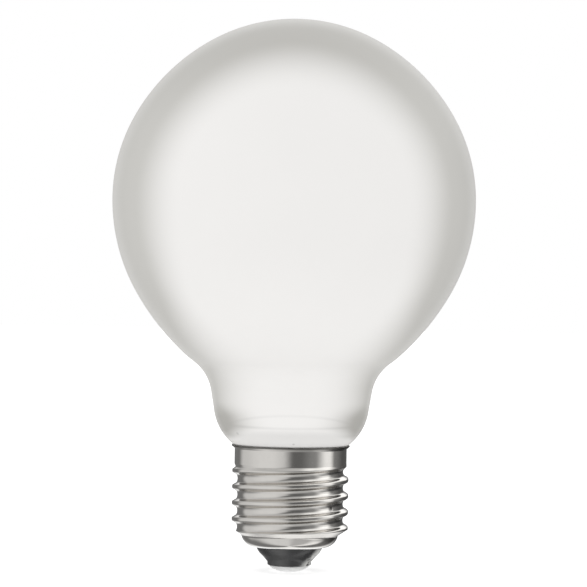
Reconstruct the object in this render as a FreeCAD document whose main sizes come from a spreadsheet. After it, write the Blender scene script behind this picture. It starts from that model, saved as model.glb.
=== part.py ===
import FreeCAD
import Part
import Sketcher
import math
import os

# Frosted globe bulb with an E27 Edison screw cap. The bulb stands on its cap, +Z up along its
# axis, with the origin at the tip of the centre contact. Lengths in millimetres, angles in degrees.

SIZES = [
    # Blown glass: tangent arcs from the pole down to the cap. A heading is the slope of the outline
    # where an arc ends: 0 is level, as at the pole, and 90 straight down, as at the equator.
    ("globe_diameter", 81.5),
    ("crown_heading", 28.0),
    ("shoulder_radius", 44.4),
    ("shoulder_heading", 61.5),
    ("equator_radius", 38.0),
    ("belly_radius", 42.1),
    ("belly_heading", 120.0),
    ("cone_heading", 137.4),
    ("knee_radius", 21.7),
    ("knee_heading", 144.4),
    ("throat_radius", 10.2),
    ("neck_diameter", 36.1),
    ("neck_heading", 99.4),
    ("neck_run", 4.6),
    ("neck_foot_heading", 142.4),
    ("glass_lip_clearance", 0.1),
    ("glass_tail_clearance", 0.3),
    ("glass_tail_length", 8.0),
    ("glass_tail_edge", 1.5),
    # Screw shell, formed from sheet
    ("shell_wall", 0.3),
    ("shell_height", 22.85),
    ("shell_floor_height", 5.45),
    ("shell_hole_diameter", 15.4),
    ("shell_foot_diameter", 21.6),
    ("shell_foot_height", 2.65),
    ("shell_foot_fillet", 2.55),
    ("shell_step_slope", 57.0),
    ("thread_diameter", 26.15),
    ("thread_root_diameter", 23.96),
    ("thread_root_blend", 0.035),
    ("thread_pitch", 3.629),
    ("thread_crest_radius", 0.45),
    ("thread_root_end", 6.0),
    ("thread_foot_rise", 4.2),
    ("thread_foot_angle", -10.0),
    ("thread_band_clearance", 1.05),
    ("thread_fade_turns", 0.5),
    ("thread_fade_depth", 1.26),
    ("thread_base_depth", 0.5),
    ("band_diameter", 25.2),
    ("band_height", 4.55),
    ("band_shoulder", 0.8),
    ("lip_diameter", 26.5),
    ("lip_height", 0.8),
    ("lip_edge", 0.25),
    # Insulator, moulded through the hole in the shell's floor
    ("insulator_foot_diameter", 9.8),
    ("insulator_foot_height", 0.75),
    ("insulator_belly_diameter", 13.5),
    ("insulator_belly_height", 2.75),
    ("insulator_belly_fillet", 6.0),
    ("insulator_flange_diameter", 16.4),
    ("insulator_flange_height", 2.4),
    ("insulator_flange_fillet", 1.2),
    ("insulator_clearance", 0.1),
    # Centre contact, a domed head on a pin
    ("contact_diameter", 8.7),
    ("contact_height", 1.35),
    ("contact_rim", 0.25),
    ("contact_flat_diameter", 3.0),
    ("contact_pin_diameter", 2.2),
    ("contact_pin_length", 7.6),
    ("contact_pin_clearance", 0.05),
]

doc = FreeCAD.newDocument("globe_bulb")
sheet = doc.addObject("Spreadsheet::Sheet", "Sizes")
for row, (alias, number) in enumerate(SIZES, start=1):
    sheet.set("A%d" % row, alias)
    sheet.set("B%d" % row, "%r" % number)
    sheet.setAlias("B%d" % row, alias)
doc.recompute()


class Size:
    """A number, and the spreadsheet expression that it comes from."""

    def __init__(self, number, text):
        self.number = number
        self.text = text

    def __add__(self, other):
        return Size(self.number + other.number, "(%s + %s)" % (self.text, other.text))

    def __sub__(self, other):
        return Size(self.number - other.number, "(%s - %s)" % (self.text, other.text))

    def __truediv__(self, divisor):
        return Size(self.number / divisor, "(%s / %r)" % (self.text, divisor))


def size(alias):
    return Size(float(getattr(sheet, alias)), "Sizes.%s" % alias)


class Spot:
    """Sketcher's own numbers for the points of a line or an arc."""

    START = 1
    END = 2
    CENTRE = 3


class Guide:
    """Sketcher's own numbers for a sketch's origin and its two axes."""

    ORIGIN = (-1, 1)
    LEVEL = -1
    UPRIGHT = -2


AXIS = Size(0.0, "0")
TIP = Size(0.0, "0")
RIGHT_ANGLE = Size(90.0, "90")

# Radii and heights that pieces share

shell_top = size("shell_floor_height") + size("shell_height")
lip_foot = shell_top - size("lip_height")
band_foot = lip_foot - size("band_height")
shell_inside = size("shell_floor_height") + size("shell_wall")
root_radius = size("thread_root_diameter") / 2
bore_radius = root_radius - size("shell_wall")
contact_seat = size("contact_height")


class HalfSection:
    """The half section of a turned body, drawn in its XZ plane with the radius along X."""

    def __init__(self, label):
        self.label = label
        self.body = doc.addObject("PartDesign::Body", label)
        self.body.Label = label
        planes = self.body.Origin.OriginFeatures
        plane = [p for p in planes if p.Role == "XZ_Plane"][0]
        self.sketch = self.body.newObject("Sketcher::SketchObject", label + "_outline")
        self.sketch.AttachmentSupport = [(plane, "")]
        self.sketch.MapMode = "FlatFace"

    def tie(self, kind, *where):
        self.sketch.addConstraint(Sketcher.Constraint(kind, *where))

    def bind(self, value, kind, *where):
        """A dimension whose value follows the spreadsheet."""
        number = math.radians(value.number) if kind == "Angle" else value.number
        index = self.sketch.addConstraint(Sketcher.Constraint(kind, *where, number))
        self.sketch.setExpression("Constraints[%d]" % index, value.text)

    def place(self, edge, point, radius, height):
        if radius is AXIS:
            self.tie("PointOnObject", edge, point, Guide.UPRIGHT)
        else:
            self.bind(radius, "DistanceX", *Guide.ORIGIN, edge, point)
        if height is TIP:
            self.tie("PointOnObject", edge, point, Guide.LEVEL)
        else:
            self.bind(height, "DistanceY", *Guide.ORIGIN, edge, point)

    def line(self, first, last):
        return self.sketch.addGeometry(Part.LineSegment(first, last), False)

    def arc(self, centre, radius, first_angle, last_angle):
        circle = Part.Circle(centre, FreeCAD.Vector(0, 0, 1), radius)
        return self.sketch.addGeometry(Part.ArcOfCircle(circle, first_angle, last_angle), False)

    def polygon(self, corners):
        """A closed outline through corners of (radius, height), or (radius, height, fillet)."""
        spots = [FreeCAD.Vector(corner[0].number, corner[1].number, 0) for corner in corners]
        ways = [(b - a).normalize() for a, b in zip(spots, spots[1:] + spots[:1])]
        setbacks = []
        for corner, into, out in zip(corners, ways[-1:] + ways[:-1], ways):
            fillet = corner[2].number if len(corner) == 3 else 0.0
            setbacks.append(fillet * math.tan(into.getAngle(out) / 2))
        edges = []
        for n, way in enumerate(ways):
            after = (n + 1) % len(corners)
            first = spots[n] + way * setbacks[n]
            last = spots[after] - way * setbacks[after]
            edges.append(self.line(first, last))
        for n, corner in enumerate(corners):
            before, edge = edges[n - 1], edges[n]
            if len(corner) == 3:
                self.rounded_corner(spots[n], corner, before, edge, ways[n - 1], ways[n], setbacks[n])
            else:
                self.tie("Coincident", before, Spot.END, edge, Spot.START)
                self.place(edge, Spot.START, corner[0], corner[1])

    def rounded_corner(self, spot, corner, before, edge, into, out, setback):
        """An arc tangent to two edges, whose sharp corner stays as a point of the drawing."""
        radius, height, fillet = corner
        turns_left = into.x * out.y - into.y * out.x > 0
        side = FreeCAD.Vector(-into.y, into.x, 0) * (1 if turns_left else -1)
        first, last = spot - into * setback, spot + out * setback
        centre = first + side * fillet.number
        angles = [math.atan2(p.y - centre.y, p.x - centre.x) for p in (first, last)]
        if turns_left:
            arc = self.arc(centre, fillet.number, angles[0], angles[1])
            arc_start, arc_end = Spot.START, Spot.END
        else:
            arc = self.arc(centre, fillet.number, angles[1], angles[0])
            arc_start, arc_end = Spot.END, Spot.START
        sharp = self.sketch.addGeometry(Part.Point(spot), True)
        self.place(sharp, Spot.START, radius, height)
        self.tie("PointOnObject", sharp, Spot.START, before)
        self.tie("PointOnObject", sharp, Spot.START, edge)
        self.tie("Tangent", before, Spot.END, arc, arc_start)
        self.tie("Tangent", arc, arc_end, edge, Spot.START)
        self.bind(fillet, "Radius", arc)

    def revolve(self):
        turn = self.body.newObject("PartDesign::Revolution", self.label + "_turned")
        turn.Profile = self.sketch
        turn.ReferenceAxis = (self.sketch, ["V_Axis"])
        turn.Angle = 360.0
        self.body.Tip = turn
        doc.recompute()
        return self.body


# Glass globe: blown as one piece with its neck, which goes down inside the screw shell

class GlassOutline:
    """Follows the outline down from the pole, one tangent arc or line after another."""

    def __init__(self, section, pole_height):
        self.section = section
        self.spot = FreeCAD.Vector(0, pole_height, 0)
        self.heading = 0.0
        self.edge = None

    def join(self, edge, upper, lower):
        if self.edge is not None:
            self.section.tie("Tangent", self.edge, self.lower, edge, upper)
        self.edge, self.upper, self.lower = edge, upper, lower

    def turn(self, radius, heading, bulges=True):
        """An arc that bulges outwards, or is hollow, and ends at a heading."""
        first, last = math.radians(self.heading), math.radians(heading)
        side = 1 if bulges else -1
        centre = self.spot - FreeCAD.Vector(math.sin(first), math.cos(first), 0) * (radius * side)
        if bulges:
            edge = self.section.arc(centre, radius, math.pi / 2 - last, math.pi / 2 - first)
            self.join(edge, Spot.END, Spot.START)
        else:
            edge = self.section.arc(centre, radius, 1.5 * math.pi - first, 1.5 * math.pi - last)
            self.join(edge, Spot.START, Spot.END)
        self.spot = centre + FreeCAD.Vector(math.sin(last), math.cos(last), 0) * (radius * side)
        self.heading = heading
        return edge

    def run(self, length):
        """A straight stretch along the heading."""
        slope = math.radians(self.heading)
        end = self.spot + FreeCAD.Vector(math.cos(slope), -math.sin(slope), 0) * length
        edge = self.section.line(self.spot, end)
        self.join(edge, Spot.START, Spot.END)
        self.spot = end
        return edge


def sine_step(first, last):
    """How far out an arc of radius 1 goes between two headings."""
    return math.sin(math.radians(last)) - math.sin(math.radians(first))


def cosine_step(first, last):
    """How far down an arc of radius 1 goes between two headings."""
    return math.cos(math.radians(first)) - math.cos(math.radians(last))


def glass_globe():
    globe_radius = size("globe_diameter") / 2
    neck_radius = size("neck_diameter") / 2
    lip_radius = size("lip_diameter") / 2 - size("shell_wall") - size("glass_lip_clearance")
    tail_radius = bore_radius - size("glass_tail_clearance")
    crown, shoulder, belly, cone, knee, neck, foot = [
        size(name + "_heading")
        for name in ("crown", "shoulder", "belly", "cone", "knee", "neck", "neck_foot")
    ]
    shoulder_arc, equator_arc, belly_arc, knee_arc, throat_arc = [
        size(name + "_radius") for name in ("shoulder", "equator", "belly", "knee", "throat")
    ]
    # The arcs whose radius isn't a size of its own are as large as the diameters around them leave.
    known = shoulder_arc.number * sine_step(crown.number, shoulder.number)
    known += equator_arc.number * sine_step(shoulder.number, 90.0)
    crown_radius = (globe_radius.number - known) / sine_step(0.0, crown.number)
    known = belly_arc.number * sine_step(90.0, belly.number)
    known += knee_arc.number * sine_step(cone.number, knee.number)
    known -= throat_arc.number * sine_step(knee.number, neck.number)
    cone_drop = neck_radius.number - globe_radius.number - known
    cone_radius = cone_drop / sine_step(belly.number, cone.number)
    neck_end = neck_radius.number + size("neck_run").number * math.cos(math.radians(neck.number))
    foot_radius = (lip_radius.number - neck_end) / sine_step(neck.number, foot.number)
    tail_arc_radius = (lip_radius.number - tail_radius.number) / sine_step(foot.number, 90.0)
    bulging = [
        (crown_radius, 0.0, crown.number),
        (shoulder_arc.number, crown.number, shoulder.number),
        (equator_arc.number, shoulder.number, 90.0),
        (belly_arc.number, 90.0, belly.number),
        (cone_radius, belly.number, cone.number),
        (knee_arc.number, cone.number, knee.number),
        (-throat_arc.number, knee.number, neck.number),
        (foot_radius, neck.number, foot.number),
    ]
    fall = sum(radius * cosine_step(first, last) for radius, first, last in bulging)
    fall += size("neck_run").number * math.sin(math.radians(neck.number))

    section = HalfSection("glass_globe")
    outline = GlassOutline(section, shell_top.number + fall)
    crown_edge = outline.turn(crown_radius, crown.number)
    section.tie("PointOnObject", crown_edge, Spot.END, Guide.UPRIGHT)
    section.tie("PointOnObject", crown_edge, Spot.CENTRE, Guide.UPRIGHT)
    section.bind(crown, "Angle", crown_edge)
    shoulder_edge = outline.turn(shoulder_arc.number, shoulder.number)
    section.bind(shoulder_arc, "Radius", shoulder_edge)
    section.bind(shoulder - crown, "Angle", shoulder_edge)
    equator_edge = outline.turn(equator_arc.number, 90.0)
    section.bind(equator_arc, "Radius", equator_edge)
    section.bind(RIGHT_ANGLE - shoulder, "Angle", equator_edge)
    section.bind(globe_radius, "DistanceX", *Guide.ORIGIN, equator_edge, Spot.START)
    belly_edge = outline.turn(belly_arc.number, belly.number)
    section.bind(belly_arc, "Radius", belly_edge)
    section.bind(belly - RIGHT_ANGLE, "Angle", belly_edge)
    cone_edge = outline.turn(cone_radius, cone.number)
    section.bind(cone - belly, "Angle", cone_edge)
    knee_edge = outline.turn(knee_arc.number, knee.number)
    section.bind(knee_arc, "Radius", knee_edge)
    section.bind(knee - cone, "Angle", knee_edge)
    throat_edge = outline.turn(throat_arc.number, neck.number, bulges=False)
    section.bind(throat_arc, "Radius", throat_edge)
    section.bind(knee - neck, "Angle", throat_edge)
    neck_edge = outline.run(size("neck_run").number)
    section.bind(neck_radius, "DistanceX", *Guide.ORIGIN, neck_edge, Spot.START)
    section.bind(size("neck_run"), "Distance", neck_edge)
    foot_edge = outline.turn(foot_radius, foot.number)
    section.bind(foot - neck, "Angle", foot_edge)
    section.place(foot_edge, Spot.START, lip_radius, shell_top)
    outline.turn(tail_arc_radius, 90.0, bulges=False)
    tail_edge = outline.run(size("glass_tail_length").number)
    section.tie("Vertical", tail_edge)
    section.bind(tail_radius, "DistanceX", *Guide.ORIGIN, tail_edge, Spot.START)
    section.bind(size("glass_tail_length"), "Distance", tail_edge)
    rim_edge = outline.turn(size("glass_tail_edge").number, 180.0)
    section.bind(size("glass_tail_edge"), "Radius", rim_edge)
    section.bind(RIGHT_ANGLE, "Angle", rim_edge)
    floor_edge = outline.run(outline.spot.x)
    section.tie("PointOnObject", floor_edge, Spot.END, Guide.UPRIGHT)
    axis_edge = section.line(outline.spot, FreeCAD.Vector(0, shell_top.number + fall, 0))
    section.tie("Coincident", floor_edge, Spot.END, axis_edge, Spot.START)
    section.tie("Coincident", axis_edge, Spot.END, crown_edge, Spot.END)
    return section.revolve()


# Screw shell: an outer form with the thread rolled on it, less its inside

def shell_form(label, wall):
    """The shell without its thread and foot, filled in. With a wall, the space inside that wall."""
    root = root_radius - wall
    band = size("band_diameter") / 2 - wall
    lip = size("lip_diameter") / 2 - wall
    section = HalfSection(label)
    section.polygon(
        [
            (AXIS, TIP),
            (root, TIP),
            (root, band_foot + wall),
            (band, band_foot + size("band_shoulder") + wall),
            (band, lip_foot),
            (lip, shell_top - size("lip_edge")),
            (lip, shell_top),
            (AXIS, shell_top),
        ]
    )
    return section.revolve()


def foot_form(label, wall):
    """A cup with the form of the shell's narrow foot and of the step above it, which widens to
    clear the thread and the lip. With a wall, the space inside that wall."""
    foot = size("shell_foot_diameter") / 2 - wall
    floor = size("shell_floor_height") + wall
    reach = size("lip_diameter") / 2 + size("lip_height")
    # The slope is measured from upright, and the wall is as thick there as elsewhere.
    slope = math.radians(size("shell_step_slope").number)
    wall_shift = Size(
        wall.number * math.tan(slope / 2),
        "(%s * tan(Sizes.shell_step_slope / 2))" % wall.text,
    )
    step_foot = size("shell_floor_height") + size("shell_foot_height") + wall_shift
    step_rise = Size(
        (reach.number - foot.number) / math.tan(slope),
        "((%s - %s) / tan(Sizes.shell_step_slope))" % (reach.text, foot.text),
    )
    section = HalfSection(label)
    section.polygon(
        [
            (AXIS, floor),
            (foot, floor, size("shell_foot_fillet") - wall),
            (foot, step_foot),
            (reach, step_foot + step_rise),
            (reach, shell_top + size("lip_height")),
            (AXIS, shell_top + size("lip_height")),
        ]
    )
    return section.revolve()


def thread_path():
    """Points along the middle of the crest, which sinks smoothly into the shell at both ends."""
    foot_angle = size("thread_foot_angle").number
    foot_height = (size("shell_floor_height") + size("thread_foot_rise")).number
    head_height = (band_foot - size("thread_band_clearance")).number
    pitch = size("thread_pitch").number
    full = 360.0 * (head_height - foot_height) / pitch
    fade = 360.0 * size("thread_fade_turns").number
    points_a_turn = 12
    count = round((full + 2 * fade) / 360.0 * points_a_turn)
    points = []
    for n in range(count + 1):
        along = -fade + (full + 2 * fade) * n / count
        out_of_full = max(0.0, -along, along - full) / fade
        sunk = size("thread_fade_depth").number * out_of_full**2 * (3 - 2 * out_of_full)
        radius = size("thread_diameter").number / 2 - sunk
        angle = math.radians(foot_angle + along)
        height = foot_height + pitch * along / 360.0
        points.append(FreeCAD.Vector(radius * math.cos(angle), radius * math.sin(angle), height))
    return points, math.radians(foot_angle - fade)


def thread_section(crest_top, outward):
    """One ridge: a narrow crest arc between two wider root arcs, which meet it in tangent."""
    blend = size("thread_root_blend").number
    depth = (size("thread_diameter").number - size("thread_root_diameter").number) / 2 + blend
    half_pitch = size("thread_pitch").number / 2
    both_radii = (depth**2 + half_pitch**2) / (2 * depth)
    crest_radius = size("thread_crest_radius").number
    hollow_radius = both_radii - crest_radius
    meeting = math.asin(half_pitch / both_radii)
    root_end = math.radians(size("thread_root_end").number)

    def crest(angle):
        return crest_radius * (1 - math.cos(angle)), crest_radius * math.sin(angle)

    def upper_root(angle):
        down = depth - hollow_radius * (1 - math.cos(angle))
        return down, half_pitch - hollow_radius * math.sin(angle)

    def lower_root(angle):
        down, up = upper_root(angle)
        return down, -up

    def place(down, up):
        return crest_top - outward * down + FreeCAD.Vector(0, 0, up)

    def arcs(curve, first, last, count):
        edges = []
        for n in range(count):
            ends = [first + (last - first) * (n + share) / count for share in (0, 0.5, 1)]
            edges.append(Part.Arc(*[place(*curve(angle)) for angle in ends]).toShape())
        return edges

    buried = depth + size("thread_base_depth").number
    base = [
        place(*upper_root(root_end)),
        place(buried, upper_root(root_end)[1]),
        place(buried, lower_root(root_end)[1]),
        place(*lower_root(root_end)),
    ]
    # More than one arc to each curve keeps the swept faces true to the section.
    edges = arcs(crest, -meeting, meeting, 3)
    edges += arcs(upper_root, meeting, root_end, 2)
    edges += [Part.LineSegment(a, b).toShape() for a, b in zip(base, base[1:])]
    edges += arcs(lower_root, root_end, meeting, 2)
    return Part.Wire(edges)


def thread_ridge():
    points, first_angle = thread_path()
    curve = Part.BSplineCurve()
    curve.interpolate(points)
    outward = FreeCAD.Vector(math.cos(first_angle), math.sin(first_angle), 0)
    pipe = Part.BRepOffsetAPI.MakePipeShell(Part.Wire([curve.toShape()]))
    pipe.setBiNormalMode(FreeCAD.Vector(0, 0, 1))
    pipe.add(thread_section(points[0], outward), False, False)
    pipe.build()
    pipe.makeSolid()
    ridge = doc.addObject("Part::Feature", "thread_ridge")
    ridge.Shape = pipe.shape()
    return ridge


def boolean(kind, label, base, tool):
    result = doc.addObject("Part::" + kind, label)
    result.Base = base
    result.Tool = tool
    return result


def screw_shell():
    threaded = boolean("Fuse", "threaded_form", shell_form("outer_form", AXIS), thread_ridge())
    outside = boolean("Common", "footed_form", threaded, foot_form("outer_foot", AXIS))
    wall = size("shell_wall")
    inner_form, inner_foot = shell_form("inner_form", wall), foot_form("inner_foot", wall)
    inside = boolean("Common", "inside_form", inner_form, inner_foot)
    hollow = boolean("Cut", "hollow_form", outside, inside)
    hole = doc.addObject("Part::Cylinder", "floor_hole")
    hole.setExpression("Radius", "Sizes.shell_hole_diameter / 2")
    hole.setExpression("Height", shell_inside.text)
    shell = boolean("Cut", "screw_shell", hollow, hole)
    doc.recompute()
    return shell


# Insulator: black glass that fills the hole in the shell's floor and grips its edge

def insulator():
    clearance = size("insulator_clearance")
    foot_radius = size("insulator_foot_diameter") / 2
    cone_foot = contact_seat + size("insulator_foot_height")
    belly_radius = size("insulator_belly_diameter") / 2
    belly = contact_seat + size("insulator_belly_height")
    floor = size("shell_floor_height")
    waist = size("shell_hole_diameter") / 2 - clearance
    flange = size("insulator_flange_diameter") / 2
    flange_foot = shell_inside + clearance
    flange_top = flange_foot + size("insulator_flange_height")
    pin_hole = size("contact_pin_diameter") / 2 + size("contact_pin_clearance")
    section = HalfSection("insulator")
    section.polygon(
        [
            (pin_hole, contact_seat),
            (foot_radius, contact_seat),
            (foot_radius, cone_foot),
            (belly_radius, belly, size("insulator_belly_fillet")),
            (waist - clearance, floor),
            (waist, flange_foot),
            (flange, flange_foot),
            (flange, flange_top, size("insulator_flange_fillet")),
            (pin_hole, flange_top),
        ]
    )
    return section.revolve()


# Centre contact: a shallow domed head under the insulator, and the pin that holds it there

def centre_contact():
    head = size("contact_diameter") / 2
    flat = size("contact_flat_diameter") / 2
    pin = size("contact_pin_diameter") / 2
    rim_foot = contact_seat - size("contact_rim")
    # The dome runs level out of the flat at the tip, and up to the rim.
    dome_rise = rim_foot.number
    dome_reach = head.number - flat.number
    dome_radius = (dome_reach**2 + dome_rise**2) / (2 * dome_rise)
    dome_turn = math.asin(dome_reach / dome_radius)
    section = HalfSection("centre_contact")
    spots = [
        FreeCAD.Vector(x, y, 0)
        for x, y in (
            (head.number, rim_foot.number),
            (head.number, contact_seat.number),
            (pin.number, contact_seat.number),
            (pin.number, contact_seat.number + size("contact_pin_length").number),
            (0.0, contact_seat.number + size("contact_pin_length").number),
            (0.0, 0.0),
            (flat.number, 0.0),
        )
    ]
    lines = [section.line(first, last) for first, last in zip(spots, spots[1:])]
    rim_line, seat_line, pin_line, top_line, axis_line, flat_line = lines
    for line, after in zip(lines, lines[1:]):
        section.tie("Coincident", line, Spot.END, after, Spot.START)
    centre = FreeCAD.Vector(flat.number, dome_radius, 0)
    dome = section.arc(centre, dome_radius, -math.pi / 2, -math.pi / 2 + dome_turn)
    section.tie("Tangent", flat_line, Spot.END, dome, Spot.START)
    section.tie("Coincident", dome, Spot.END, rim_line, Spot.START)
    section.place(rim_line, Spot.START, head, rim_foot)
    section.place(seat_line, Spot.START, head, contact_seat)
    section.place(pin_line, Spot.START, pin, contact_seat)
    section.place(top_line, Spot.START, pin, contact_seat + size("contact_pin_length"))
    section.place(axis_line, Spot.START, AXIS, contact_seat + size("contact_pin_length"))
    section.place(flat_line, Spot.START, AXIS, TIP)
    section.bind(flat, "DistanceX", *Guide.ORIGIN, flat_line, Spot.END)
    section.tie("Horizontal", flat_line)
    return section.revolve()


pieces = [glass_globe(), screw_shell(), insulator(), centre_contact()]
doc.recompute()

for item in doc.Objects:
    if "Invalid" in item.State or "Error" in item.State:
        raise RuntimeError("%s failed: %s" % (item.Label, item.State))

os.makedirs("parts", exist_ok=True)
for piece in pieces:
    shape = piece.Shape
    if shape.isNull() or not shape.isValid() or len(shape.Solids) != 1:
        raise RuntimeError("%s is not one valid solid" % piece.Label)
    shape.exportStep("parts/%s.step" % piece.Label)
    print("%s: %.1f mm3, %s" % (piece.Label, shape.Volume, shape.BoundBox))
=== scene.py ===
import math

import bmesh
import bpy
from mathutils import Matrix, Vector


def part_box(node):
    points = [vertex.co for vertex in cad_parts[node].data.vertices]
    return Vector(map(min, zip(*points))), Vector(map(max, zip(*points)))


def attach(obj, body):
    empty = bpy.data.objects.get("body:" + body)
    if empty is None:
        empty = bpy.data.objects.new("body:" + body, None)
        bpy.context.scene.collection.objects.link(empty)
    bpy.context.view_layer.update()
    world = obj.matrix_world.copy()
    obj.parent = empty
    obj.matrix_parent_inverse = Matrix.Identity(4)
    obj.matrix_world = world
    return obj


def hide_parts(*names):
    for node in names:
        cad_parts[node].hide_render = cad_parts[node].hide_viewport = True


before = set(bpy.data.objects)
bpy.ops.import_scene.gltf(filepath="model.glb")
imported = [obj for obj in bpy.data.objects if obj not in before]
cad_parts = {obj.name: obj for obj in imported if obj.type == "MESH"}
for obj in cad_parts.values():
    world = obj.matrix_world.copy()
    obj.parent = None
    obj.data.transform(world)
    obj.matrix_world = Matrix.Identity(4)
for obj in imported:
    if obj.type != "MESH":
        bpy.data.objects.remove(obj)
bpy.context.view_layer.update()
MM = 0.001

# Camera. It stands level in front of the bulb, far enough away for the globe to hide its own top,
# and is turned a little about its own line of sight, because the bulb leans in the picture.

PHOTO_WIDTH = 587
PIXELS_PER_MM = 4.4515
SENSOR_WIDTH = 36.0
CAMERA_DISTANCE = 0.600
CAMERA_HEIGHT = 0.0623
CAMERA_SIDE = 0.00014
CAMERA_ROLL = 0.8

seen_width = PHOTO_WIDTH / PIXELS_PER_MM * MM
camera_data = bpy.data.cameras.new("camera")
camera_data.sensor_width = SENSOR_WIDTH
camera_data.lens = SENSOR_WIDTH * CAMERA_DISTANCE / seen_width
camera = bpy.data.objects.new("camera", camera_data)
camera.matrix_world = (
    Matrix.Translation((CAMERA_SIDE, -CAMERA_DISTANCE, CAMERA_HEIGHT))
    @ Matrix.Rotation(math.radians(90), 4, "X")
    @ Matrix.Rotation(math.radians(CAMERA_ROLL), 4, "Z")
)
bpy.context.scene.collection.objects.link(camera)
bpy.context.scene.camera = camera
bpy.context.scene.view_settings.view_transform = "Standard"


# Glass globe. Blown in one piece with its neck from clear glass, and frosted white inside. Its
# edges are painted greyer as shade, by how far the surface turns from the view. The neck goes down
# inside the screw shell.

class Value:
    """A socket that gives a value. Python's operators on it add Math nodes to its shader."""

    def __init__(self, shader, socket):
        self.shader = shader
        self.socket = socket

    def math(self, operation, *others):
        return self.shader.node("ShaderNodeMath", {"operation": operation}, self, *others)

    def __add__(self, other):
        return self.math("ADD", other)

    def __sub__(self, other):
        return self.math("SUBTRACT", other)

    def __rsub__(self, other):
        return self.shader.node("ShaderNodeMath", {"operation": "SUBTRACT"}, other, self)

    def __mul__(self, other):
        return self.math("MULTIPLY", other)

    def __truediv__(self, other):
        return self.math("DIVIDE", other)

    __radd__ = __add__
    __rmul__ = __mul__


class Shader:
    """The nodes of a material or of the world, which one method adds."""

    def __init__(self, owner, output_kind):
        owner.use_nodes = True
        self.tree = owner.node_tree
        self.tree.nodes.clear()
        self.output = self.tree.nodes.new(output_kind)

    def node(self, kind, settings, *values, output=0, **named):
        """Adds a node. Values fill its sockets in order, and names, with _ for a space, others."""
        made = self.tree.nodes.new(kind)
        for name, setting in settings.items():
            setattr(made, name, setting)
        sockets = list(zip(made.inputs, values))
        sockets += [(made.inputs[name.replace("_", " ")], value) for name, value in named.items()]
        for socket, value in sockets:
            if isinstance(value, Value):
                self.tree.links.new(value.socket, socket)
            elif value is not None:
                socket.default_value = value
        return Value(self, made.outputs[output])

    def coordinates(self, kind="Object"):
        return self.node("ShaderNodeTexCoord", {}, output=kind)

    def along(self, vector, axis):
        """A vector's X, Y or Z."""
        return self.node("ShaderNodeSeparateXYZ", {}, vector, output=axis)

    def distance(self, place, x, y, z):
        """How far a place is from a spot. The spot and the result are in millimetres."""
        settings = {"operation": "DISTANCE"}
        spot = (x * MM, y * MM, z * MM)
        return self.node("ShaderNodeVectorMath", settings, place, spot, output="Value") / MM

    def noise(self, place, scale, detail, roughness):
        return self.node("ShaderNodeTexNoise", {}, place, None, scale, detail, roughness)

    def step(self, value, first, last, at_first=0.0, at_last=1.0):
        """Goes smoothly from at_first to at_last while another value goes from first to last."""
        settings = {"interpolation_type": "SMOOTHSTEP"}
        return self.node("ShaderNodeMapRange", settings, value, first, last, at_first, at_last)

    def blend(self, factor, first, last):
        """A colour between two colours."""
        settings = {"data_type": "RGBA"}
        unused = [None] * 5
        return self.node("ShaderNodeMix", settings, factor, *unused, first, last, output=2)

    def relief(self, strength, depth, height):
        """The normal of a surface with a fine relief, depth metres deep."""
        return self.node("ShaderNodeBump", {}, Strength=strength, Distance=depth, Height=height)

    def principled(self, **named):
        return self.node("ShaderNodeBsdfPrincipled", {}, **named)

    def ray(self, kind):
        """1 for rays of one kind, and 0 for others."""
        return self.node("ShaderNodeLightPath", {}, output="Is %s Ray" % kind)

    def surface(self, value):
        self.tree.links.new(value.socket, self.output.inputs["Surface"])


def material(name):
    made = bpy.data.materials.new(name)
    return made, Shader(made, "ShaderNodeOutputMaterial")


def turned_piece(name, outline, steps, finish, closed=False):
    """A smooth piece turned about Z from an outline of (radius, height) points in millimetres."""
    mesh = bmesh.new()
    spots = [mesh.verts.new((radius * MM, 0, height * MM)) for radius, height in outline]
    pairs = list(zip(spots, spots[1:]))
    if closed:
        pairs.append((spots[-1], spots[0]))
    for first, last in pairs:
        mesh.edges.new((first, last))
    bmesh.ops.spin(
        mesh,
        geom=list(mesh.verts) + list(mesh.edges),
        cent=(0, 0, 0),
        axis=(0, 0, 1),
        angle=math.tau,
        steps=steps,
        use_merge=True,
    )
    bmesh.ops.remove_doubles(mesh, verts=mesh.verts, dist=1e-6)
    bmesh.ops.recalc_face_normals(mesh, faces=mesh.faces)
    for face in mesh.faces:
        face.smooth = True
    data = bpy.data.meshes.new(name)
    mesh.to_mesh(data)
    mesh.free()
    data.materials.append(finish)
    piece = bpy.data.objects.new(name, data)
    bpy.context.scene.collection.objects.link(piece)
    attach(piece, "root")
    return piece


glass_low, glass_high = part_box("glass_globe")
shell_low, shell_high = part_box("screw_shell")
GLOBE_RADIUS = glass_high.x / MM
NECK_RADIUS = 18.05
LIP_RADIUS = 12.85
TAIL_RADIUS = 11.38
TAIL_EDGE = 1.5
NECK_RUN = 4.6
ARC_STEP = 2.0
GLOBE_TURN_STEPS = 192
# Each arc has a radius and the outline's slope where it ends, in degrees: 0 is level, and 90 is
# straight down. A radius of None is solved, and one below 0 curves the other way.
CROWN_ARCS = [(None, 28.0), (44.4, 61.5), (38.0, 90.0)]
CONE_ARCS = [(42.1, 120.0), (None, 137.4), (21.7, 144.4), (-10.2, 99.4)]
FOOT_ARCS = [(None, 142.4)]
TAIL_ARCS = [(None, 90.0)]


def solve(first_heading, arcs, reach):
    """Gives the arc without a radius the one with which all the arcs go out by reach together."""
    known = 0.0
    heading = first_heading
    for radius, last in arcs:
        step = math.sin(math.radians(last)) - math.sin(math.radians(heading))
        if radius is None:
            open_step = step
        else:
            known += radius * step
        heading = last
    return [((reach - known) / open_step if arc[0] is None else arc[0], arc[1]) for arc in arcs]


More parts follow.
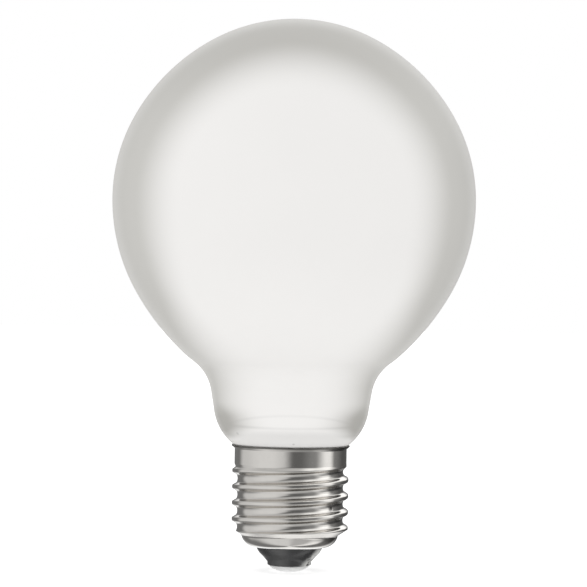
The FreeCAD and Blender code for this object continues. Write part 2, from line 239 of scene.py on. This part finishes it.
def follow(outline, heading, arcs):
    """Adds the points of tangent arcs of (radius, last heading) to an outline."""
    for radius, last in arcs:
        r, z = outline[-1]
        count = max(2, math.ceil(abs(last - heading) / ARC_STEP))
        first = math.radians(heading)
        for n in range(1, count + 1):
            angle = math.radians(heading + (last - heading) * n / count)
            outline.append(
                (
                    r + radius * (math.sin(angle) - math.sin(first)),
                    z - radius * (math.cos(first) - math.cos(angle)),
                )
            )
        heading = last
    return heading


glass_outline = [(0.0, glass_high.z / MM)]
heading = follow(glass_outline, 0.0, solve(0.0, CROWN_ARCS, GLOBE_RADIUS))
heading = follow(glass_outline, heading, solve(heading, CONE_ARCS, NECK_RADIUS - GLOBE_RADIUS))
r, z = glass_outline[-1]
slope = math.radians(heading)
neck_foot = r + NECK_RUN * math.cos(slope)
glass_outline.append((neck_foot, z - NECK_RUN * math.sin(slope)))
heading = follow(glass_outline, heading, solve(heading, FOOT_ARCS, LIP_RADIUS - neck_foot))
heading = follow(glass_outline, heading, solve(heading, TAIL_ARCS, TAIL_RADIUS - LIP_RADIUS))
glass_outline.append((TAIL_RADIUS, glass_low.z / MM + TAIL_EDGE))
follow(glass_outline, heading, [(TAIL_EDGE, 180.0)])
glass_outline.append((0.0, glass_low.z / MM))

# The frosting's colour has painted shade: a pale middle and a greyer edge, mixed by Layer Weight's
# facing. Where the edge begins, and how dark it is, changes with the height. Heights and places are
# in millimetres.

MIDDLE_COLOUR = (0.926, 0.915, 0.899, 1)
EDGE_COLOUR = (0.58, 0.572, 0.545, 1)
SHADED_EDGE_COLOUR = (0.42, 0.41, 0.385, 1)
BLACK = (0.0, 0.0, 0.0, 1)
CROWN_BLEND = (95.0, 121.0)
UPPER_SHADE_BLEND = (45.0, 75.0)
NECK_BLEND = (62.0, 44.0)
FOOT_BLEND = (38.5, 34.5)
FOOT_END = (29.5, 32.0)
BASE_BLEND = (33.0, 31.0)
SILL_BLEND = (31.0, 29.4)

frosted_glass, nodes = material("frosted_glass")
facing = nodes.node("ShaderNodeLayerWeight", {}, 0.5, output="Facing")
place = nodes.coordinates()
across = nodes.along(place, "X") / MM
depth = nodes.along(place, "Y") / MM
height = nodes.along(place, "Z") / MM
droop = nodes.along(nodes.coordinates("Normal"), "Z").math("MINIMUM", 0.0)
# The lower half's normals are taken as level, so that only turning sideways makes an edge.
levelled = (1.0 - droop * droop).math("SQRT")
sideways = 1.0 - (1.0 - facing) / levelled
crown = nodes.step(height, *CROWN_BLEND)
neck = nodes.step(height, *NECK_BLEND)
foot = nodes.step(height, *FOOT_BLEND)
base = nodes.step(height, *BASE_BLEND)
sill = nodes.step(height, *SILL_BLEND)
# Painted shade: the greyer edge colour, darker still at the crown and at the neck's foot.
rim_start = 0.22 - 0.19 * neck + 0.20 * base + 0.3 * sill
rim_end = 0.53 + 0.22 * neck - 0.25 * foot + 0.20 * base + 0.3 * sill
rim = nodes.step(sideways, rim_start, rim_end)
rim_turn = nodes.step(facing, 0.65, 0.88, 0.0, 0.3)
shade = 0.5 * crown + 0.8 * foot * nodes.step(height, *FOOT_END)
frosting = nodes.noise(place, 900.0, 3.0, 0.6)
waves = nodes.noise(place, 45.0, 2.0, 0.5)


def ring(centre, lean, strength):
    """A painted shadow line round the neck, of the stem's flare seen through the frosting,
    strongest at the sides, in a plane that leans to the front.
    """
    off = (height - centre - depth * lean).math("ABSOLUTE")
    side = nodes.step(across.math("ABSOLUTE"), 2.0, 14.0, 0.5, 1.0)
    return nodes.step(off, 0.5, 0.0) * side * strength


def speck(x, y, z, size):
    return nodes.step(nodes.distance(place, x, y, z), size, 0.4 * size)


# Painted shade: the globe is darker from 45 mm up and the neck's lowest part darker near the shell,
# with the very bottom a little lighter. The specks and waves are the glass's own marks and tone.
upper_shade = nodes.step(height, *UPPER_SHADE_BLEND)
# Painted shadow lines of the stem's flare inside the neck.
flare_shadow_lines = ring(33.35, 0.04, 0.14) + ring(30.7, -0.28, 0.09)
specks = speck(-11.8, -10.1, 31.2, 0.5) + speck(0.6, -13.8, 29.2, 0.4)
painted_shade_and_specks = base * 0.12 - sill * 0.04 + upper_shade * 0.05 + flare_shadow_lines + specks * 0.2 + waves * 0.03
middle = nodes.principled(
    Base_Color=nodes.blend(painted_shade_and_specks, MIDDLE_COLOUR, BLACK),
    Roughness=0.58 + 0.08 * frosting,
    Specular_IOR_Level=0.25,
)
edge = nodes.principled(
    Base_Color=nodes.blend(shade, EDGE_COLOUR, SHADED_EDGE_COLOUR),
    Roughness=0.46 + 0.08 * frosting,
    Specular_IOR_Level=0.35,
)
nodes.surface(nodes.node("ShaderNodeMixShader", {}, rim - rim_turn, middle, edge))

globe = turned_piece("globe_glass", glass_outline, GLOBE_TURN_STEPS, frosted_glass)
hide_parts("glass_globe")


# Screw shell. Deep drawn from thin brass sheet, plated with nickel, and its thread rolled in. The
# thread runs out into a plain band, and the band flares out into a rim under the glass.

ROOT_RADIUS = 11.86
ROOT_RISE = 1.05
CREST_RADIUS = 13.075
RIDGE_HALF = 0.60
FLANK = 0.80
PITCH = 3.629
CREST_HEIGHT = 9.75
BAND_RADIUS = 12.6
BAND_BLEND = (22.7, 24.1)
WALL = 0.3
FLOOR_REACH = 8.3
LIP_EDGE = 0.25
LIP_HEIGHT = 0.8
HOLE_RADIUS = 7.7
FOOT_RADIUS = 10.88
FOOT_LEAN = 10.0
FOOT_POINTS = 14
STEP_FOOT = 8.1
STEP_SLOPE = 57.0
INNER_STEP_TOP = 9.1
ROW = 0.1
SHELL_TURN_STEPS = 256
OUTLINE_MATCH = 0.001

shell_floor = shell_low.z / MM
shell_top = shell_high.z / MM
lip_foot = shell_top - LIP_HEIGHT
lip_radius = shell_high.x / MM


def smooth(x):
    x = min(1.0, max(0.0, x))
    return x * x * (3 - 2 * x)


def wall_radius(angle, height):
    """The shell's outer radius at an angle from +X, with which the thread rises, and a height."""
    turns = (height - CREST_HEIGHT) / PITCH - angle / math.tau
    off_crest = abs(turns - round(turns)) * PITCH
    off_root = PITCH / 2 - off_crest
    hollow = ROOT_RADIUS + ROOT_RISE * (2 * off_root / PITCH) ** 2
    ridge = smooth((RIDGE_HALF + FLANK / 2 - off_crest) / FLANK)
    radius = hollow + (CREST_RADIUS - hollow) * ridge
    low, high = BAND_BLEND
    radius += (BAND_RADIUS - radius) * smooth((height - low) / (high - low))
    step = FOOT_RADIUS + (height - STEP_FOOT) * math.tan(math.radians(STEP_SLOPE))
    return min(radius, step)


foot_fillet = (STEP_FOOT - shell_floor) / (1 - math.sin(math.radians(FOOT_LEAN)))
foot_inset = foot_fillet * math.cos(math.radians(FOOT_LEAN))
shell_outline = [(HOLE_RADIUS, shell_floor), (FOOT_RADIUS - foot_inset, shell_floor)]
for n in range(1, FOOT_POINTS + 1):
    angle = math.radians((90 - FOOT_LEAN) * n / FOOT_POINTS)
    shell_outline.append(
        (
            FOOT_RADIUS - foot_inset + foot_fillet * math.sin(angle),
            shell_floor + foot_fillet * (1 - math.cos(angle)),
        )
    )
rows = round((lip_foot - STEP_FOOT) / ROW)
for n in range(rows + 1):
    shell_outline.append((FOOT_RADIUS, STEP_FOOT + (lip_foot - STEP_FOOT) * n / rows))
shell_outline += [
    (lip_radius, shell_top - LIP_EDGE),
    (lip_radius, shell_top),
    (lip_radius - WALL, shell_top),
    (BAND_RADIUS - WALL, lip_foot),
    (ROOT_RADIUS - WALL, BAND_BLEND[0]),
    (ROOT_RADIUS - WALL, INNER_STEP_TOP),
    (FOOT_RADIUS - WALL, STEP_FOOT),
    (FLOOR_REACH, shell_floor + WALL),
    (HOLE_RADIUS, shell_floor + WALL),
]

# The plating shows fine drawn lines, shallow dents, a small punch mark and random tarnish. Painted
# shade darkens the flared rim and its top edge, and a painted highlight brightens the foot's edge.
# Heights and places are in millimetres.

PLATE_COLOUR = (0.72, 0.70, 0.67, 1)
HIGHLIGHT_COLOUR = (0.98, 0.975, 0.96, 1)
TARNISH_AND_SHADE_COLOUR = (0.06, 0.057, 0.052, 1)
LINE_STRETCH = (60, 60, 1500)
FLARE_BLEND = (27.4, 27.6)
FLARE_SIDE = (-6.0, 1.0)
RIM_LINE_BLEND = (27.85, 28.02)
FOOT_HIGHLIGHT_BLEND = (6.2, 5.6)
PUNCH_MARK = (9.3, -7.75, 14.75)
RELIEF_DEPTH = 0.12 * MM

nickel_plate, nodes = material("nickel_plate")
place = nodes.coordinates()
across = nodes.along(place, "X") / MM
height = nodes.along(place, "Z") / MM
stretched = nodes.node("ShaderNodeVectorMath", {"operation": "MULTIPLY"}, place, LINE_STRETCH)
drawn_lines = nodes.noise(stretched, 1.0, 3.0, 0.6)
dents = nodes.noise(place, 260.0, 2.0, 0.5)
tarnish = nodes.noise(place, 700.0, 4.0, 0.6)
# Painted shade: the flare's foot darker in the middle and on the right, and a dark line along the
# rim's top edge.
flare = nodes.step(height, *FLARE_BLEND) * nodes.step(across, *FLARE_SIDE) * 0.5
lip_shadow = flare + nodes.step(height, *RIM_LINE_BLEND) * (0.85 - flare)
# A painted highlight along the foot's lower edge.
foot_highlight = nodes.step(height, *FOOT_HIGHLIGHT_BLEND)
from_punch = nodes.distance(place, *PUNCH_MARK)
punched = nodes.step(from_punch, 0.5, 0.3)
punch_rim = nodes.step(from_punch, 0.9, 0.4)
stain_and_shade = (lip_shadow + punched * 0.9 + (tarnish - 0.5) * 0.16).math("MAXIMUM", 0.0)
plate = nodes.blend(foot_highlight, PLATE_COLOUR, HIGHLIGHT_COLOUR)
pressed = drawn_lines * 0.45 + dents - punch_rim * 0.8
nodes.surface(
    nodes.principled(
        Base_Color=nodes.blend(stain_and_shade, plate, TARNISH_AND_SHADE_COLOUR),
        Metallic=1.0,
        Roughness=0.09 + 0.07 * drawn_lines + 0.2 * lip_shadow,
        Normal=nodes.relief(0.25, RELIEF_DEPTH, pressed),
    )
)

shell = turned_piece(
    "screw_shell_plated", shell_outline, SHELL_TURN_STEPS, nickel_plate, closed=True
)
# The turned wall above the foot is pushed out to the rolled thread, the band and the step.
for vertex in shell.data.vertices:
    turned_radius = math.hypot(vertex.co.x, vertex.co.y) / MM
    row_height = vertex.co.z / MM
    on_wall = abs(turned_radius - FOOT_RADIUS) < OUTLINE_MATCH
    if on_wall and row_height > STEP_FOOT - OUTLINE_MATCH:
        angle = math.atan2(vertex.co.y, vertex.co.x)
        stretch = wall_radius(angle, row_height) / turned_radius
        vertex.co.x *= stretch
        vertex.co.y *= stretch
shell.data.update()
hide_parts("screw_shell")


# Insulator. Black glass, pressed hot through the hole in the shell's foot, so that it grips the
# hole's edge from both sides. A pale patch on one side of it is partly a smear from the soldering
# and partly a painted highlight.

SEAT = 1.35
PIN_HOLE = 1.15
TIP_RADIUS = 4.9
TIP_CHAMFER = 0.15
TIP_HEIGHT = 0.75
WAIST_RADIUS = 7.6
FLANGE_RADIUS = 8.2
FLANGE_FOOT = 5.85
FLANGE_EDGE = 7.0
INSULATOR_TOP = 8.25
SMALL_TURN_STEPS = 96
GLASS_COLOUR = (0.022, 0.022, 0.023, 1)
STREAK_COLOUR = (0.06, 0.06, 0.06, 1)
SMEAR_AND_HIGHLIGHT_COLOUR = (0.72, 0.72, 0.70, 1)
FLOW_DEPTH = 0.3 * MM

black_glass, nodes = material("black_glass")
place = nodes.coordinates()
across = nodes.along(place, "X") / MM
depth = nodes.along(place, "Y") / MM
height = nodes.along(place, "Z") / MM
flow = nodes.noise(place, 500.0, 3.0, 0.6)
patch = nodes.step((depth + 2.6).math("ABSOLUTE"), 2.6, 1.2)
# The pale patch: partly a solder smear, partly a painted highlight on the right side.
smear_and_highlight = nodes.step(across + height * -0.9, 0.4, 2.6) * nodes.step(flow, 0.36, 0.52) * patch
streak = nodes.step((across + 2.6).math("ABSOLUTE"), 3.0, 0.4)
nodes.surface(
    nodes.principled(
        Base_Color=nodes.blend(
            smear_and_highlight, nodes.blend(streak, GLASS_COLOUR, STREAK_COLOUR), SMEAR_AND_HIGHLIGHT_COLOUR
        ),
        Roughness=0.16 + 0.16 * flow,
        Specular_IOR_Level=0.7,
        Normal=nodes.relief(0.3, FLOW_DEPTH, flow),
    )
)
insulator_outline = [
    (PIN_HOLE, SEAT),
    (TIP_RADIUS - TIP_CHAMFER, SEAT),
    (TIP_RADIUS, SEAT + TIP_CHAMFER),
    (TIP_RADIUS, SEAT + TIP_HEIGHT),
    (5.85, 3.2),
    (6.75, 4.1),
    (7.2, 4.8),
    (7.5, 5.45),
    (WAIST_RADIUS, FLANGE_FOOT),
    (FLANGE_RADIUS, FLANGE_FOOT),
    (FLANGE_RADIUS, FLANGE_EDGE),
    (7.0, INSULATOR_TOP),
    (PIN_HOLE, INSULATOR_TOP),
]
insulator = turned_piece(
    "insulator_glass", insulator_outline, SMALL_TURN_STEPS, black_glass, closed=True
)
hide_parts("insulator")


# Centre contact. A head of tinned metal, domed and bright, with a flat tip. Its pin goes up
# through the insulator, which holds it.

HEAD_RADIUS = 4.35
TIP_FLAT = 1.5
DOME_RISE = 1.1
DOME_REACH = 2.85
DOME_POINTS = 8
PIN_RADIUS = 1.1
PIN_TOP = 8.95
TIN_COLOUR = (0.99, 0.99, 0.985, 1)
DULL_TIN_COLOUR = (0.93, 0.93, 0.92, 1)
TIN_DEPTH = 0.2 * MM

tinned, nodes = material("tinned_metal")
flow = nodes.noise(nodes.coordinates(), 420.0, 3.0, 0.6)
nodes.surface(
    nodes.principled(
        Base_Color=nodes.blend(flow, TIN_COLOUR, DULL_TIN_COLOUR),
        Metallic=0.4,
        Roughness=0.4 + 0.2 * flow,
        Normal=nodes.relief(0.2, TIN_DEPTH, flow),
    )
)
contact_outline = [(0.0, 0.0), (TIP_FLAT, 0.0)]
dome_radius = (DOME_REACH**2 + DOME_RISE**2) / (2 * DOME_RISE)
for n in range(1, DOME_POINTS + 1):
    angle = math.asin(DOME_REACH / dome_radius) * n / DOME_POINTS
    contact_outline.append(
        (TIP_FLAT + dome_radius * math.sin(angle), dome_radius * (1 - math.cos(angle)))
    )
contact_outline += [(HEAD_RADIUS, SEAT), (PIN_RADIUS, SEAT), (PIN_RADIUS, PIN_TOP), (0.0, PIN_TOP)]
contact = turned_piece("contact_head", contact_outline, SMALL_TURN_STEPS, tinned)
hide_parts("centre_contact")


# Floor. A pale, plain sheet under the bulb, which takes its shadow and looks white to the camera.
# The metal doesn't reflect it, because the studio's pattern has its own light from below.

FLOOR_HALF_SIZE = 4.0
FLOOR_COLOUR = (0.8, 0.8, 0.8, 1)
FLOOR_GLOW = 0.2
FLOOR_WHITENING = 0.34
WHITE = (1, 1, 1, 1)

floor_mesh = bmesh.new()
bmesh.ops.create_grid(floor_mesh, x_segments=1, y_segments=1, size=FLOOR_HALF_SIZE)
floor_data = bpy.data.meshes.new("floor")
floor_mesh.to_mesh(floor_data)
floor_mesh.free()
floor = bpy.data.objects.new("floor", floor_data)
bpy.context.scene.collection.objects.link(floor)

pale_floor, nodes = material("pale_floor")
lit = nodes.node("ShaderNodeBsdfDiffuse", {}, FLOOR_COLOUR)
glow_level = FLOOR_GLOW + FLOOR_WHITENING * nodes.ray("Camera")
glow = nodes.node("ShaderNodeEmission", {}, WHITE, glow_level)
nodes.surface(nodes.node("ShaderNodeAddShader", {}, lit, glow))
floor_data.materials.append(pale_floor)
floor.visible_glossy = False


# Studio. White all round to the camera and for soft light, a little stronger from the left. The
# metal reflects a pattern of light and grey screens, and a white backdrop behind the bulb. The
# pattern goes by the azimuth, 0 towards the camera and 90 to the right, and by the elevation.

LEFT_LIGHT = 0.07
LEVEL_START = 0.20
ABOVE_START = 0.6
BELOW_START = 0.22
BACKDROP_LEVEL = 1.35
# Where each step of the brightness starts and ends, in degrees of azimuth, and by how much it goes.
LEVEL_STEPS = [
    (-131.0, -112.0, 0.50),
    (-112.0, -60.0, 0.15),
    (-40.0, -12.0, -0.12),
    (18.0, 50.0, 0.135),
    (50.0, 80.0, 0.80),
    (88.0, 103.0, -0.85),
    (103.0, 135.0, -0.13),
    (150.0, 180.0, 0.10),
]
ABOVE_STEPS = [(18.0, 48.0, 0.6), (130.0, 175.0, -0.5), (-85.0, -125.0, 0.1)]
BELOW_STEPS = [
    (-148.0, -170.0, 0.88),
    (-118.0, -60.0, 0.58),
    (-8.0, 18.0, -0.25),
    (50.0, 80.0, 0.55),
    (92.0, 108.0, -0.90),
    (140.0, 165.0, 0.90),
]

world = bpy.data.worlds.new("studio")
bpy.context.scene.world = world
nodes = Shader(world, "ShaderNodeOutputWorld")
way = nodes.coordinates("Generated")
along_x = nodes.along(way, "X")
to_camera = 0 - nodes.along(way, "Y")
azimuth = along_x.math("ARCTAN2", to_camera) * (180 / math.pi)
elevation = nodes.along(way, "Z").math("ARCSINE") * (180 / math.pi)


def with_steps(level, steps):
    for first, last, change in steps:
        level = level + nodes.step(azimuth, first, last, 0.0, change)
    return level


# The edge of the screen beside the camera leans over, so its step goes with the elevation too.
leaning = azimuth + elevation.math("MAXIMUM", 0.0) * 0.9
level = with_steps(LEVEL_START, LEVEL_STEPS) + nodes.step(leaning, -17.0, 7.0, 0.0, -0.585)
raised = nodes.step(elevation, 6.0, 16.0) * nodes.step(azimuth, 45.0, 75.0)
sunk = nodes.step(elevation, -5.0, -14.0) * nodes.step(azimuth, 60.0, 80.0)
level = (level + 0.45 * raised * nodes.step(azimuth, 115.0, 95.0)) * (1.0 - 0.6 * sunk)
above = nodes.step(elevation, 14.0, 40.0)
above_level = with_steps(ABOVE_START, ABOVE_STEPS)
ahead = nodes.step(azimuth, 70.0, 40.0)
behind = nodes.step(azimuth, 136.0, 154.0) + nodes.step(azimuth, -150.0, -175.0)
below = nodes.step(elevation - 10.0 * ahead - 14.0 * behind, -22.0, -50.0)
below_level = with_steps(BELOW_START, BELOW_STEPS)
pattern = level + (above_level - level) * above
pattern = pattern + (below_level - pattern) * below
backdrop = behind * nodes.step(elevation, 7.0, 20.0) * nodes.step(elevation, 54.0, 34.0)
pattern = pattern + (BACKDROP_LEVEL - pattern) * backdrop
soft = 1.0 - LEFT_LIGHT * along_x
strength = soft + (pattern - soft) * nodes.ray("Glossy")
white = nodes.ray("Camera").math("MAXIMUM", nodes.ray("Transmission"))
strength = strength + (1.0 - strength) * white
nodes.surface(nodes.node("ShaderNodeBackground", {}, WHITE, strength))
world.cycles.sampling_method = "NONE"
